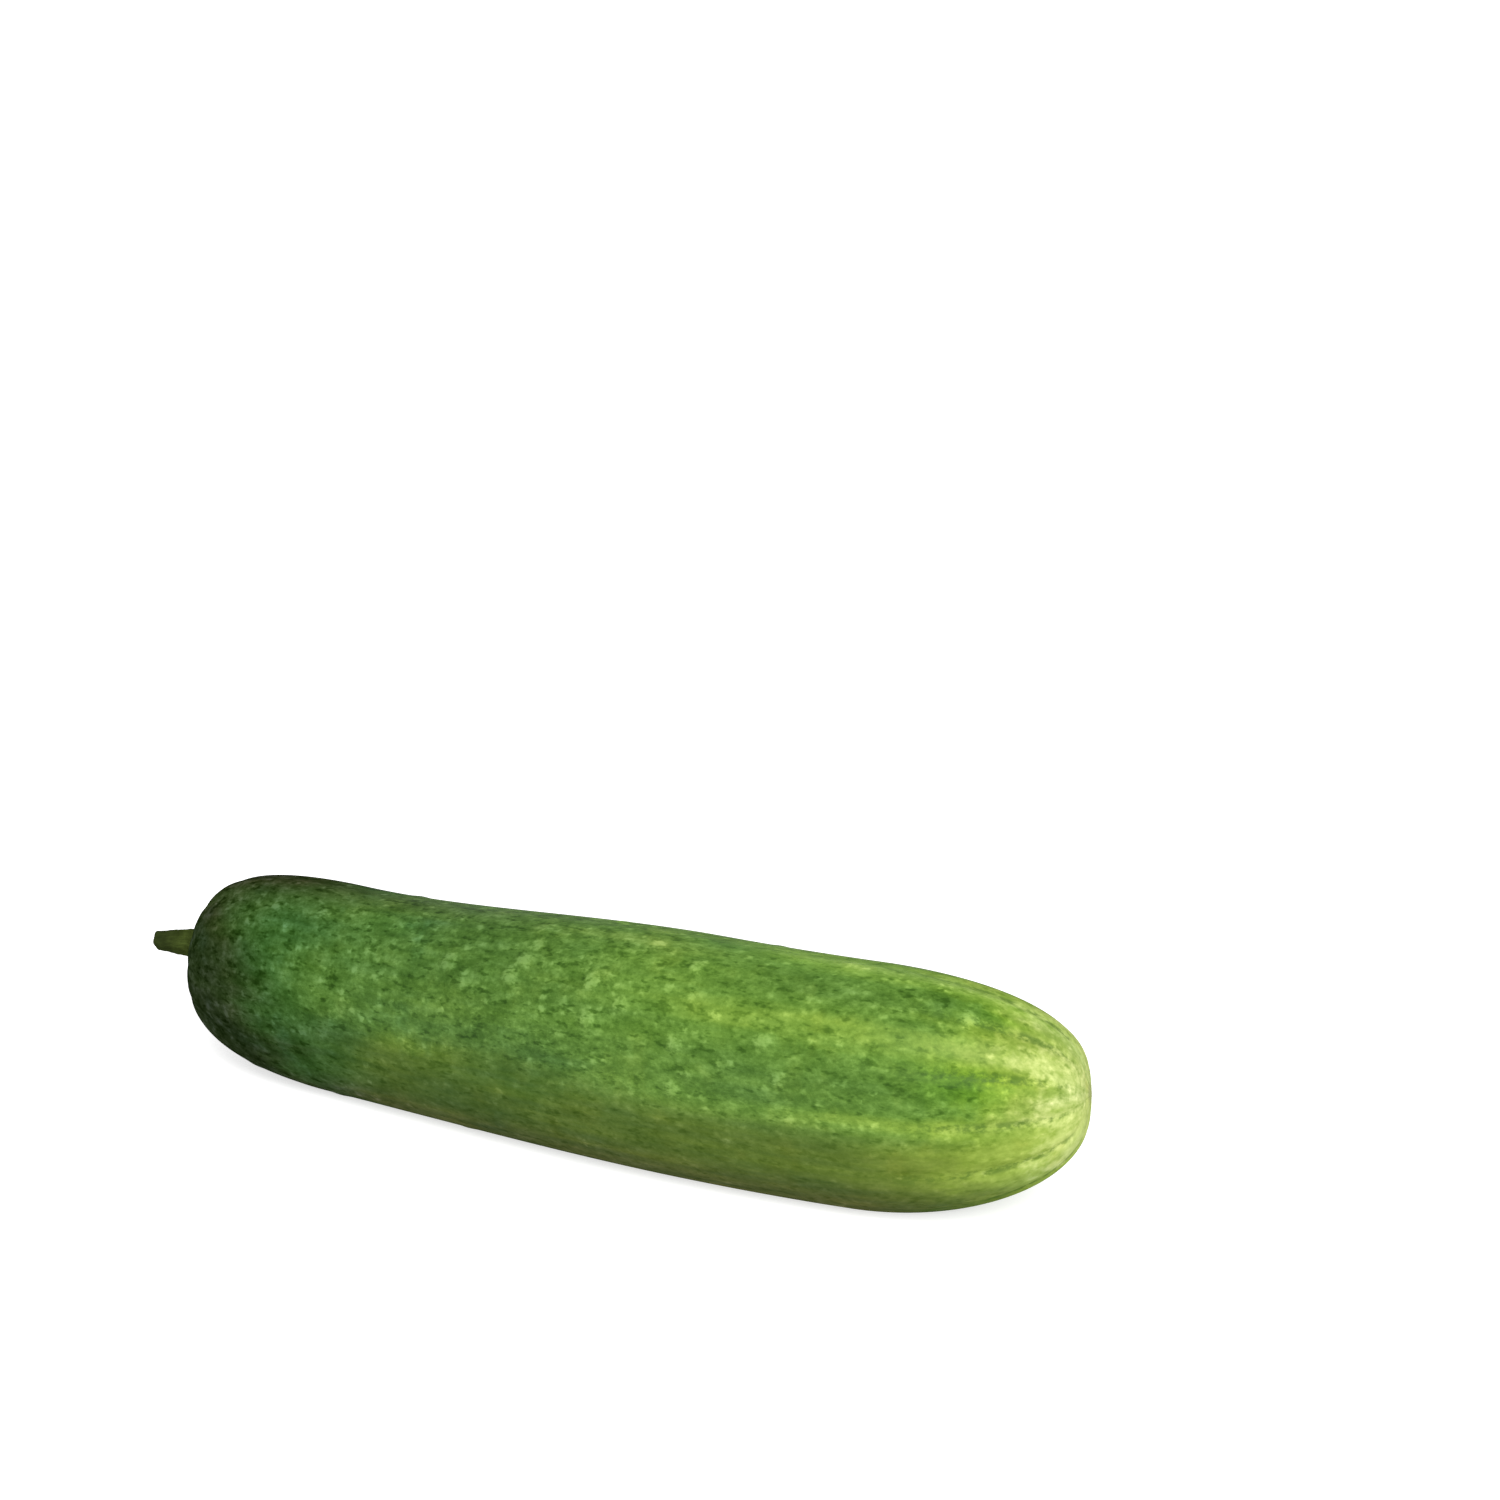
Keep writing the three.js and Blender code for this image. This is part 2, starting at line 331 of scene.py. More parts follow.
# Painted shade: how much darker the underside is, where the fruit meets the table.
UNDERSIDE_SHADE_TONE = -0.1
# Painted shade: how much darker the top and upper back are near the stem end, where they turn from
# the light.
BACK_SHOULDER_SHADE_TONE = -0.1
BACK_SHOULDER_SHADE_FADE = (15.0, 70.0)
TIP_START = 148.0
TIP_SOONER_ON_BELLY = 20.0
TIP_LATER_UNDERNEATH = 16.0
TIP_SOONER_ON_PALE = 7.0
TIP_LATER_ON_GREEN = 3.0
TIP_FULL = 178.0

# How strong the speckles are
STEM_END_SPECKLES = 1.15
BODY_SPECKLES = -0.25
BODY_SPECKLES_SPAN = (10.0, 26.0)
BLOSSOM_SPECKLES = -0.18
BLOSSOM_SPECKLES_SPAN = (75.0, 115.0)
BELLY_SMOOTHNESS = 0.5
BELLY_SMOOTHNESS_SPAN = (25.0, 55.0)
PALE_SMOOTHNESS = 0.3
TIP_SMOOTHNESS = 0.5

# Colour swathes along the skin: angle, half width in degrees, first and full place, strength
PALE_SWATHES = (
    (2, 14, 72, 135, 1.1),
    (48, 8, 85, 120, 0.65),
    (88, 5, 116, 150, 0.85),
    (143, 9, 100, 155, 0.3),
    (186, 10, 95, 150, 0.3),
    (226, 9, 90, 150, 0.6),
    (264, 7, 70, 140, 0.7),
    (306, 9, 80, 140, 0.7),
)
GREEN_SWATHES = (
    (24, 8, 95, 130, 0.6),
    (69, 10, 100, 125, 1.0),
    (105, 6, 105, 125, 0.5),
    (244, 8, 90, 150, 0.7),
    (284, 10, 95, 145, 1.0),
    (332, 10, 95, 145, 0.7),
)
# The waves in which a swathe wanders: degrees to each side, length, and shift with its angle
SWATHE_WAVES = ((1.8, 13.0, 1.0), (1.2, 5.3, 2.0))

# Soft clouds of tone and hue: place, angle, half length, half width in degrees, then how much
# lighter, redder and bluer
CLOUDS = (
    (6, 40, 4, 9, -0.10, 0.14, 0.0),
    (8, 28, 8, 14, 0.05, 0.30, 0.30),
    (12, 51, 6, 8, 0.04, 0.16, 0.0),
    (19, 98, 6, 8, 0.0, 0.15, 0.20),
    (20, 118, 6, 6, 0.0, -0.16, 0.0),
    (21, 102, 8, 13, 0.24, -0.05, 0.0),
    (22, 18, 10, 12, -0.10, 0.0, 0.0),
    (28, 8, 24, 18, 0.0, 0.34, 0.18),
    (28, 62, 9, 14, 0.05, 0.0, 0.22),
    (28, 132, 9, 12, 0.18, 0.0, 0.0),
    (30, 42, 12, 12, -0.03, -0.08, 0.30),
    (37, 138, 9, 10, 0.02, 0.30, 0.50),
    (40, 93, 7, 8, -0.12, 0.0, 0.10),
    (47, 26, 8, 9, -0.03, -0.14, -0.10),
    (50, 111, 9, 8, 0.06, 0.0, 0.0),
    (54, 137, 14, 9, 0.07, 0.0, 0.0),
    (56, 25, 5, 5, -0.09, 0.0, 0.0),
    (57, 93, 12, 8, 0.14, 0.0, -0.10),
    (60, 9, 9, 6, 0.0, 0.08, 0.25),
    (64, 66, 9, 9, 0.07, 0.04, 0.0),
    (78, 101, 22, 9, 0.02, -0.15, 0.06),
    (86, 84, 9, 7, -0.09, 0.0, 0.0),
    (88, 17, 10, 7, 0.10, 0.0, 0.10),
    (96, 15, 18, 7, 0.0, 0.04, 0.18),
    (110, 6, 8, 8, -0.09, 0.0, 0.20),
    (124, 84, 10, 6, -0.08, 0.0, 0.0),
    (135, 6, 36, 12, 0.0, -0.20, 0.0),
    (150, 10, 18, 7, 0.10, 0.0, 0.0),
    (151, 22, 5, 4, -0.06, 0.0, -0.10),
    (157, 68, 8, 9, 0.0, -0.10, -0.60),
    (160, 62, 8, 5, -0.04, -0.02, -0.50),
    (161, 126, 7, 12, -0.06, 0.0, 0.0),
    # Painted shade: the next cloud darkens the low rim of the blossom end.
    (162, 141, 12, 14, -0.11, 0.0, 0.35),
    (163, 10, 7, 12, 0.0, -0.06, -0.30),
    (163, 24, 8, 3, -0.18, -0.03, -0.25),
    (163, 34, 6, 6, 0.08, 0.04, 0.0),
    # The next cloud lightens and whitens the blossom end's pale middle: partly its own paleness,
    # partly a painted highlight.
    (166, 76, 5, 12, 0.14, 0.06, 0.18),
    (166, 104, 8, 14, -0.08, 0.0, 0.0),
    (168, 22, 5, 9, 0.04, 0.06, 0.30),
    (170, 46, 3, 6, -0.05, 0.0, 0.0),
    # This cloud is partly the blossom end's own paleness and partly a painted highlight.
    (171, 68, 4, 14, 0.12, 0.0, 0.15),
)
RIM_CAST = 0.42  # how much redder and bluer the rim low on both sides of the belly is
RIM_START_SPAN = (30.0, 48.0)
RIM_END_SPAN = (138.0, 158.0)


def side_of(turn, angle, start, full):
    """1 on the side of the fruit that faces an angle and 0 on the others: it eases in between
    the start and the full number of degrees from the angle."""
    near = np.cos(turn_gap(turn, angle))
    return smooth_step(near, np.cos(np.radians(start)), np.cos(np.radians(full)))


def strongest_swathe(x, turn, swathes):
    """The strongest of the lengthwise swathes at each spot. Each is a bell round its own angle,
    which wanders along the fruit in two waves. It starts at its first place and is full from its
    full place on towards the blossom end."""
    strongest = np.zeros_like(x)
    for angle, width, first, full, strength in swathes:
        wander = sum(reach * np.sin(x / length + shift * angle)
                     for reach, length, shift in SWATHE_WAVES)
        across = bell(np.degrees(turn_gap(turn, angle)) + wander, width)
        strongest = np.maximum(strongest, strength * (smooth_step(x, first, full) * across))
    return strongest


def clouds(x, turn):
    """The lighter, redder and bluer sums of all the clouds, each a bell both along and round the
    fruit, with a redder, bluer rim low on both sides of the belly."""
    rim = side_of(turn, UNDERSIDE_ANGLE, *RIM_SPAN)
    rim = rim * smooth_step(x, *RIM_START_SPAN) * (1.0 - smooth_step(x, *RIM_END_SPAN))
    sums = [np.zeros_like(x), RIM_CAST * rim, RIM_CAST * rim]
    for place, angle, length, width, *amounts in CLOUDS:
        share = bell(x - place, length) * angle_bell(turn, angle, width)
        sums = [total + amount * share for total, amount in zip(sums, amounts)]
    return sums


def dark_end(x, turn, belly):
    """How far a spot is past the dark of the stem end, 0 to 1. The ease between is later on the
    belly, sooner in the sun and in front, and wavy and late behind."""
    sunny = angle_bell(turn, SUNNY_ANGLE, SUNNY_WIDTH)
    behind = side_of(turn, BACK_ANGLE, *BACK_SPAN)
    wavy = sum(reach * np.sin(count * turn) for reach, count in BACK_WAVES)
    start = BODY_TONE_START + BODY_TONE_LATER_ON_BELLY * belly - BODY_TONE_SOONER_IN_SUN * sunny
    full = BODY_TONE_FULL - BODY_TONE_SOONER_IN_FRONT * angle_bell(turn, FRONT_ANGLE, FRONT_WIDTH)
    return smooth_step(x, start + behind * wavy, full + BODY_TONE_LATER_BEHIND * behind)


def skin_tone(x, turn, lighter):
    """How pale the skin is, 0 to 1, how far it is belly, and how speckled. The tone climbs from a
    dark stem end to a pale blossom end. Swathes and clouds lighten or darken it, the green ones
    reach further into the pale tip, and the belly is darker and smoother. The belly's darkness is
    partly its own colour and partly painted shade. The underside, and the top and upper back near
    the stem end, are darkened further as painted shade."""
    pale = strongest_swathe(x, turn, PALE_SWATHES)
    green = strongest_swathe(x, turn, GREEN_SWATHES)
    climb = BELLY_CLIMB * bell(x - BELLY_CLIMB_PLACE, BELLY_CLIMB_LENGTH)
    belly = side_of(turn, BELLY_ANGLE, *[edge + climb for edge in BELLY_SPAN])
    under = side_of(turn, UNDERSIDE_ANGLE, *UNDERSIDE_SPAN)
    shoulder_shade = side_of(turn, BACK_SHOULDER_ANGLE, *BACK_SHOULDER_SPAN)

    tone = STEM_END_TONE + BODY_TONE * dark_end(x, turn, belly)
    tone = tone + BLOSSOM_TONE * smooth_step(x, *BLOSSOM_TONE_SPAN)
    tone = tone + PALE_SWATHE_TONE * pale + GREEN_SWATHE_TONE * green + lighter
    # The darker belly: partly its own colour, partly painted shade.
    tone = tone + (BELLY_COLOUR_AND_SHADE_TONE + BELLY_COLOUR_AND_SHADE_TONE_AHEAD * smooth_step(x, *BELLY_COLOUR_AND_SHADE_TONE_SPAN)) * belly
    # Painted shade darkens the underside, where the fruit meets the table.
    tone = tone + UNDERSIDE_SHADE_TONE * under
    # Painted shade darkens the top and upper back near the stem end.
    tone = tone + BACK_SHOULDER_SHADE_TONE * shoulder_shade * (1.0 - smooth_step(x, *BACK_SHOULDER_SHADE_FADE))
    tip_start = TIP_START - TIP_SOONER_ON_BELLY * belly + TIP_LATER_UNDERNEATH * under
    tip_start = tip_start - TIP_SOONER_ON_PALE * pale + TIP_LATER_ON_GREEN * green
    tip = smooth_step(x, tip_start, TIP_FULL)
    tone = tone + (1.0 - tone) * tip

    speckled = STEM_END_SPECKLES + BODY_SPECKLES * smooth_step(x, *BODY_SPECKLES_SPAN)
    speckled = speckled + BLOSSOM_SPECKLES * smooth_step(x, *BLOSSOM_SPECKLES_SPAN)
    smooth_belly = BELLY_SMOOTHNESS * belly * smooth_step(x, *BELLY_SMOOTHNESS_SPAN)
    speckled = speckled * (1.0 - smooth_belly)
    speckled = speckled * (1.0 - PALE_SMOOTHNESS * pale) * (1.0 - TIP_SMOOTHNESS * tip)
    return tone, belly, speckled


# ---------------------------------------------------------------- meshes

def even_turns(count):
    """That many turns, evenly round a circle."""
    return np.arange(count) / count * 2.0 * math.pi


def with_tips(values, first=0.0, last=0.0):
    """Values for the points of all rings, with the two tips' own put before and after them."""
    return np.concatenate([[first], values.ravel(), [last]])


def add_object(name, data):
    """Puts a mesh, a light or a camera into the scene."""
    thing = bpy.data.objects.new(name, data)
    bpy.context.collection.objects.link(thing)
    return thing


def closed_skin(name, points, columns):
    """A mesh from a first tip point, rings of points and a last tip point: triangles fan round
    each tip and four-sided faces join each ring to the next."""
    rings = (len(points) - 2) // columns
    column = np.arange(columns)
    following = (column + 1) % columns
    start = (1 + columns * np.arange(rings - 1))[:, None]
    quads = np.stack(
        [start + column, start + following, start + columns + following, start + columns + column],
        axis=-1,
    ).reshape(-1, 4)
    last_ring = 1 + (rings - 1) * columns
    first_fan = np.stack([np.zeros_like(column), 1 + following, 1 + column], axis=-1)
    last_tip = np.full_like(column, len(points) - 1)
    last_fan = np.stack([last_ring + column, last_ring + following, last_tip], axis=-1)
    corners = np.concatenate([first_fan.ravel(), quads.ravel(), last_fan.ravel()])
    sizes = np.concatenate([np.full(columns, 3), np.full(len(quads), 4), np.full(columns, 3)])
    mesh = bpy.data.meshes.new(name)
    mesh.vertices.add(len(points))
    mesh.vertices.foreach_set("co", (points * MM).astype(np.float32).ravel())
    mesh.loops.add(len(corners))
    mesh.loops.foreach_set("vertex_index", corners.astype(np.int32))
    mesh.polygons.add(len(sizes))
    mesh.polygons.foreach_set("loop_start", (np.cumsum(sizes) - sizes).astype(np.int32))
    mesh.polygons.foreach_set("use_smooth", np.ones(len(sizes), dtype=bool))
    mesh.update(calc_edges=True)
    return add_object(name, mesh)


def note(piece, **notes):
    """Keeps a number, or a vector, for each point of a piece, for its material to read."""
    for name, values in notes.items():
        kind, field = ("FLOAT_VECTOR", "vector") if values.ndim == 2 else ("FLOAT", "value")
        attribute = piece.data.attributes.new(name, kind, "POINT")
        attribute.data.foreach_set(field, values.astype(np.float32).ravel())


def make_fruit():
    """The whole fruit as one skin on a grid of places and turns: from the centre line out by the
    radius, and flat where it would reach below the table top. Notes for its material say where
    each point lies and how it looks."""
    rings = ring_places(FRUIT_RINGS)
    x = with_tips(np.repeat(rings, FRUIT_COLUMNS), last=FRUIT_LENGTH)
    turn = with_tips(np.tile(even_turns(FRUIT_COLUMNS), FRUIT_RINGS))
    plain = body_radius(x) * fullness(x)
    relief, crown = wart_relief(x, turn, plain)
    radius = plain * section_shape(x, turn) + relief
    along, front, up = fruit_axes(x)
    points = centre_line(x) + tip_push(x, plain)[:, None] * along
    points = points + (radius * np.cos(turn))[:, None] * up
    points = points + (radius * np.sin(turn))[:, None] * front
    points[:, 2] = np.maximum(points[:, 2], 0.0)
    fruit = closed_skin("fruit_skin", points, FRUIT_COLUMNS)

    lighter, redder, bluer = clouds(x, turn)
    tone, belly, speckled = skin_tone(x, turn, lighter)
    note(
        fruit,
        place=np.stack([x, plain * np.sin(turn), plain * np.cos(turn)], axis=-1),
        cast=np.stack([np.exp(redder), np.ones_like(x), np.exp(bluer)], axis=-1),
        from_axis=plain, crown=crown, tone=tone, belly=belly, speckled=speckled,
        furrow=furrow_line(turn),
    )
    return fruit


def stem_line(share):
    """A curve of the second degree with three handles: the seat, a bend straight out of it,
    square to the dimple's floor, and the cut, which droops. Gives the points and the directions
    at each share of the way."""
    tip = np.array([0.0])
    along = fruit_axes(tip)[0][0]
    end = centre_line(tip)[0]
    seat = end + (DIMPLE_DEPTH + STEM_SINK) * along
    bend = seat - (STEM_SEAT_RUN + STEM_SINK) * along
    level = unit(along * (1.0, 1.0, 0.0))
    cut = end - STEM_REACH * level - (0.0, 0.0, STEM_DROOP)
    s = share[:, None]
    points = (1 - s) ** 2 * seat + 2 * s * (1 - s) * bend + s ** 2 * cut
    ways = unit(2 * (1 - s) * (bend - seat) + 2 * s * (cut - bend))
    return points, ways


def stem_rings(length):
    """The stem's rings from its root to the middle of its cut: how far each has gone, how far its
    edge is set in, and the share of its size that is left. The side runs straight, the bevel is a
    quarter round, and the face shrinks evenly to nothing."""
    side = np.linspace(0.0, 1.0, STEM_RINGS) * (length - CUT_BEVEL)
    bevel = np.linspace(0.0, math.pi / 2, STEM_BEVEL_RINGS)
    face = np.linspace(1.0, 0.0, STEM_FACE_RINGS + 2)[1:-1]
    flat = np.ones_like(face)
    gone = np.concatenate([side, length - CUT_BEVEL * (1 - np.sin(bevel)), flat * length])
    inset = np.concatenate([0 * side, CUT_BEVEL * (1 - np.cos(bevel)), flat * CUT_BEVEL])
    shrink = np.concatenate([np.ones(STEM_RINGS + STEM_BEVEL_RINGS), face])
    return gone, inset, shrink


def stem_girth(gone, length, turns):
    """The stem's radius before its cut: a straight taper with a flare at its root, times one plus
    five blunt ridges, fine fibres that twist a little and soft lumps, all of them waves."""
    taper = STEM_ROOT_RADIUS + (STEM_CUT_RADIUS - STEM_ROOT_RADIUS) * gone / length
    taper = taper + STEM_FLARE * bell(gone, STEM_FLARE_LENGTH)
    ridge = STEM_RIDGE_HEIGHT * np.cos(STEM_RIDGE_COUNT * turns)
    twist = turns + STEM_TWIST * gone / length
    fibre = sum(height * np.sin(count * twist + start) for height, count, start in STEM_FIBRES)
    lumps = sum(height * np.sin(gone * rate + rounds * turns)
                for height, rate, rounds in STEM_LUMPS)
    return taper * (1 + ridge + fibre + lumps)


def make_stem():
    """The stem stub as one skin: rings carried along a drooping line, ending in a bevelled cut
    that is hollowed by a parabola."""
    even = np.linspace(0.0, 1.0, STEM_LINE_STEPS)
    track, _ = stem_line(even)
    run = np.concatenate([[0.0], np.cumsum(np.linalg.norm(np.diff(track, axis=0), axis=1))])
    length = run[-1]
    gone, inset, shrink = stem_rings(length)
    middle, way = stem_line(np.interp(gone, run, even))
    side = unit(np.cross((0.0, 0.0, 1.0), way))
    up = np.cross(way, side)
    turns = even_turns(STEM_COLUMNS)
    radius = (stem_girth(gone[:, None], length, turns) - inset[:, None]) * shrink[:, None]
    aside, above = radius * np.cos(turns), radius * np.sin(turns)
    hollow = CUT_HOLLOW * (1 - shrink ** 2)
    grid = (middle - hollow[:, None] * way)[:, None] \
        + aside[..., None] * side[:, None] + above[..., None] * up[:, None]
    cut_middle = middle[-1] - CUT_HOLLOW * way[-1]
    points = np.concatenate([middle[:1], grid.reshape(-1, 3), [cut_middle]])
    stem = closed_skin("stem_stub", points, STEM_COLUMNS)

    def on_points(values):
        """A value of each ring, for its points and for the tip next to it."""
        return with_tips(np.repeat(values, STEM_COLUMNS), values[0], values[-1])

    note(
        stem,
        place=np.stack([on_points(gone), with_tips(above), with_tips(aside)], axis=-1),
        gone=on_points(gone / length),
        cut_face=on_points(1.0 - shrink ** 4),
    )
    return stem


# ---------------------------------------------------------------- materials

# Ramps of the skin's colour, as light, by its tone
GREENS = (
    (0.0, (0.0128, 0.0205, 0.0074)),
    (0.15, (0.0176, 0.0318, 0.0088)),
    (0.30, (0.0200, 0.0492, 0.0104)),
    (0.45, (0.0290, 0.0740, 0.0134)),
    (0.56, (0.0450, 0.1000, 0.0152)),
    (0.68, (0.0690, 0.139, 0.0182)),
    (0.80, (0.116, 0.193, 0.0235)),
    (0.90, (0.172, 0.243, 0.0410)),
    (1.0, (0.315, 0.372, 0.1120)),
)
OLIVES = (
    (0.0, (0.0132, 0.0205, 0.0085)),
    (0.20, (0.0192, 0.0360, 0.0112)),
    (0.32, (0.0240, 0.0505, 0.0122)),
    (0.45, (0.0425, 0.0726, 0.0150)),
    (0.55, (0.0630, 0.0970, 0.0170)),
    (0.68, (0.0950, 0.138, 0.0215)),
    (0.80, (0.134, 0.191, 0.0285)),
    (0.90, (0.180, 0.247, 0.0420)),
    (1.0, (0.320, 0.380, 0.1130)),
)
OLIVE_SPAN = (28.0, 52.0)

# Casts of the skin, and the noise's values from which each one shows
COOL_CAST = (0.78, 0.97, 1.5)
COOL_SHARE = 0.4
COOL_NOISE = (0.52, 0.75)
COOL_FADE = 0.9
COOL_FADE_SPAN = (60.0, 110.0)
WARM_CAST = (1.16, 1.0, 0.85)
WARM_SHARE = 0.35
WARM_NOISE = (0.48, 0.3)

# Noises: the share that places are squeezed to lengthwise, which draws the noise out, and then
# its scale, detail and roughness
PATCHES = (0.5, 0.09, 3.0, 0.5)
STREAKS = (0.09, 0.5, 3.0, 0.6)
RAYS = (1.0, 5.0, 3.0, 0.6)
HUES = (1.0, 0.12, 3.0, 0.6)
GRAIN = (0.75, 1.2, 3.0, 0.65)
MOTTLE = (0.6, 0.4, 3.0, 0.6)
BLOTS = (0.6, 0.24, 1.0, 0.5)
PITS = (0.5, 0.75, 2.0, 0.6)
FIBRES = (0.12, 2.6, 3.0, 0.6)
BLOTCHES = (1.0, 0.5, 3.0, 0.6)
JITTER_SCALE = 0.9
JITTER_DETAIL = 2.0
JITTER_REACH = (1.4, 1.4, 1.4)
CELL_SQUEEZE = (0.75, 1.0, 1.0)
CELL_SCALE = 0.6
RAY_LENGTH = 15.0

# What the noises do to the skin's tone
PATCH_TONE = 0.14
STREAK_TONE = 0.14
STREAK_TONE_ON_BELLY = 0.14
RAY_TONE = 0.28
RAY_SPAN = (140.0, 165.0)

# The skin's fine relief: how strong each part of it is, and the edges that cut it out
GRAIN_RELIEF = 1.7
MOTTLE_RELIEF = 2.1
COARSE_LOSS = 0.2  # how much weaker both are where the blots are
COARSE_START_SPAN = (18.0, 35.0)
COARSE_END_SPAN = (65.0, 95.0)
BLOT_RELIEF = 0.9
SPECK_RELIEF = 0.8
SPECK_EDGE = (0.05, 0.5)
SPECK_CHANCE = (0.2, 1.0)
PIT_RELIEF = 0.7
PIT_EDGE = (0.46, 0.3)
RELIEF_BIAS = 0.02
SPOT_RELIEF = 0.66
SPOT_RAGGEDNESS = 0.65
SPOT_EDGE = (0.1, 0.75)
SPOT_OUTER_EDGE = (0.0, 0.3)
RELIEF_TOP = 0.65
RELIEF_TOP_SOFTNESS = 0.4
RELIEF_POWERS = (1.3, 1.0, 1.8)  # how fast red, green and blue lighten with the relief
LIGHTENING = 2.718  # how many times as bright a spot one unit higher is

# Marks at the fruit's ends. Each lies in its own half of the fruit, and its edge is a pair of
# distances from the fruit's axis
THREAD_COLOUR = (0.04, 0.085, 0.014)
THREAD_SHARE = 0.55
THREAD_FURROW = (0.55, 0.98)
THREAD_BREAKS = (0.16, -0.18)
THREAD_EDGE = (6.0, 12.5)
BLOSSOM_SPAN = (140.0, 160.0)
SCAR_COLOUR = (0.17, 0.18, 0.07)
SCAR_SHARE = 0.6
SCAR_EDGE = (1.2, 2.8)
SCAR_HALF = (120.0, 121.0)
SEAT_COLOUR = (0.016, 0.02, 0.006)
SEAT_SHARE = 0.6
SEAT_EDGE = (3.4, 5.4)
SEAT_HALF = (40.0, 41.0)

# The skin's gloss and bumps
SKIN_ROUGHNESS = 0.5
GRAIN_ROUGHNESS = 0.2
SCAR_ROUGHNESS = 0.3
WAX = 0.2
WAX_SPAN = (20.0, 60.0)
WAX_LOSS_AT_BLOSSOM = 0.1
WAX_ROUGHNESS = 0.4
RELIEF_BUMP = 1.5
STREAK_BUMP = 0.6
SKIN_BUMP_STRENGTH = 0.35
SKIN_BUMP_DEPTH = 0.08

# The stem's colours, as on a screen, and its bumps
STEM_OLIVES = ((0.3, (33, 41, 13)), (0.5, (46, 56, 22)), (0.72, (63, 75, 33)))
FIBRE_TONE = 0.55
BLOTCH_TONE = 0.5
STEM_DARK = (27, 33, 17)
STEM_DARK_SHARE = 0.6
STEM_DARK_SPAN = (0.4, 0.9)
PITH = (68, 70, 42)
PITH_SHARE = 0.7
PITH_SPAN = (0.2, 0.9)
STEM_ROUGHNESS = 0.62
BLOTCH_ROUGHNESS = 0.2
BLOTCH_BUMP = 0.4
STEM_BUMP_STRENGTH = 0.6
STEM_BUMP_DEPTH = 0.2


class Wire:
    """One output in a material. Arithmetic on wires adds Math nodes."""

    def __init__(self, paint, socket):
        self.paint = paint
        self.socket = socket

    def math(self, operation, *inputs):
        """Adds a Math node."""
        return self.paint.node("Math", {"operation": operation}, *inputs)

    def __add__(self, other):
        return self.math("ADD", self, other)

    def __sub__(self, other):
        return self.math("SUBTRACT", self, other)

    def __rsub__(self, other):
        return self.math("SUBTRACT", other, self)

    def __mul__(self, other):
        return self.math("MULTIPLY", self, other)

    def __rpow__(self, other):
        return self.math("POWER", other, self)

    __radd__ = __add__
    __rmul__ = __mul__


class Paint:
    """One material being mixed."""

    def __init__(self, name):
        self.material = bpy.data.materials.new(name)
        self.material.use_nodes = True
        self.tree = self.material.node_tree
        self.surface = self.tree.nodes["Principled BSDF"].inputs

    def set(self, socket, value):
        """Links a wire to a socket, or writes a number or a colour in it."""
        if isinstance(value, Wire):
            self.tree.links.new(value.socket, socket)
        else:
            socket.default_value = value

    def coat(self, **values):
        """Sets the surface's sockets, by name, and gives the material."""
        for name, value in values.items():
            self.set(self.surface[name.replace("_", " ")], value)
        return self.material

    def node(self, kind, settings, *inputs, output=0, **named):
        """Adds a node of a kind, with its settings first, and then its sockets by order or name.
        None leaves a socket alone. A ramp takes its stops as places and colours."""
        node = self.tree.nodes.new("ShaderNode" + kind)
        for key, value in settings.items():
            if key == "stops":
                ramp = node.color_ramp.elements
                while len(ramp) < len(value):
                    ramp.new(0.5)
                for stop, (place, colour) in zip(ramp, value):
                    stop.position = place
                    stop.color = (*colour, 1.0)
            else:
                setattr(node, key, value)
        for socket, value in zip(node.inputs, inputs):
            if value is not None:
                self.set(socket, value)
        for key, value in named.items():
            self.set(node.inputs[key.replace("_", " ")], value)
        return Wire(self, node.outputs[output])

    def read(self, name):
        """A number that the piece keeps for each point."""
        return self.node("Attribute", {"attribute_name": name}, output=2)

    def read_vector(self, name):
        """A vector that the piece keeps for each point."""
        return self.node("Attribute", {"attribute_name": name}, output=1)

    def first(self, vector):
        """The first of a vector's three numbers."""
        return self.node("SeparateXYZ", {}, vector)

    def ease(self, value, start, end):
        """0 before start, 1 after end, and smooth between."""
        settings = {"interpolation_type": "SMOOTHSTEP"}
        return self.node("MapRange", settings, value, start, end, 0.0, 1.0)

    def scale(self, vector, factors):
        """A place or a colour with its three numbers multiplied."""
        return self.node("VectorMath", {"operation": "MULTIPLY"}, vector, factors)

    def noise(self, place, squeeze, scale, detail, roughness):
        """Cloudy noise round 0.5, on a place squeezed lengthwise to a share."""
        place = self.scale(place, (squeeze, 1.0, 1.0))
        values = {"Scale": scale, "Detail": detail, "Roughness": roughness}
        return self.node("TexNoise", {}, Vector=place, **values)

    def swing(self, place, *settings):
        """The same noise round 0."""
        return self.noise(place, *settings) - 0.5

    def ramp(self, stops, value):
        """The colour that a value has on a ramp."""
        return self.node("ValToRGB", {"stops": stops}, value)

    def blend(self, share, first, second, mode="MIX"):
        """Two colours mixed by a share. The sockets between are for numbers and vectors."""
        settings = {"data_type": "RGBA", "blend_type": mode}
        between = [None] * 5
        if not isinstance(second, Wire):
            second = (*second, 1.0)
        return self.node("Mix", settings, share, *between, first, second, output=2)


def linear(red, green, blue):
    """A screen colour of 0 to 255 as the light it stands for, by the usual screen curve."""
    screen = np.array([red, green, blue]) / 255.0
    light = np.where(screen <= 0.04045, screen / 12.92, ((screen + 0.055) / 1.055) ** 2.4)
    return tuple(float(v) for v in light)


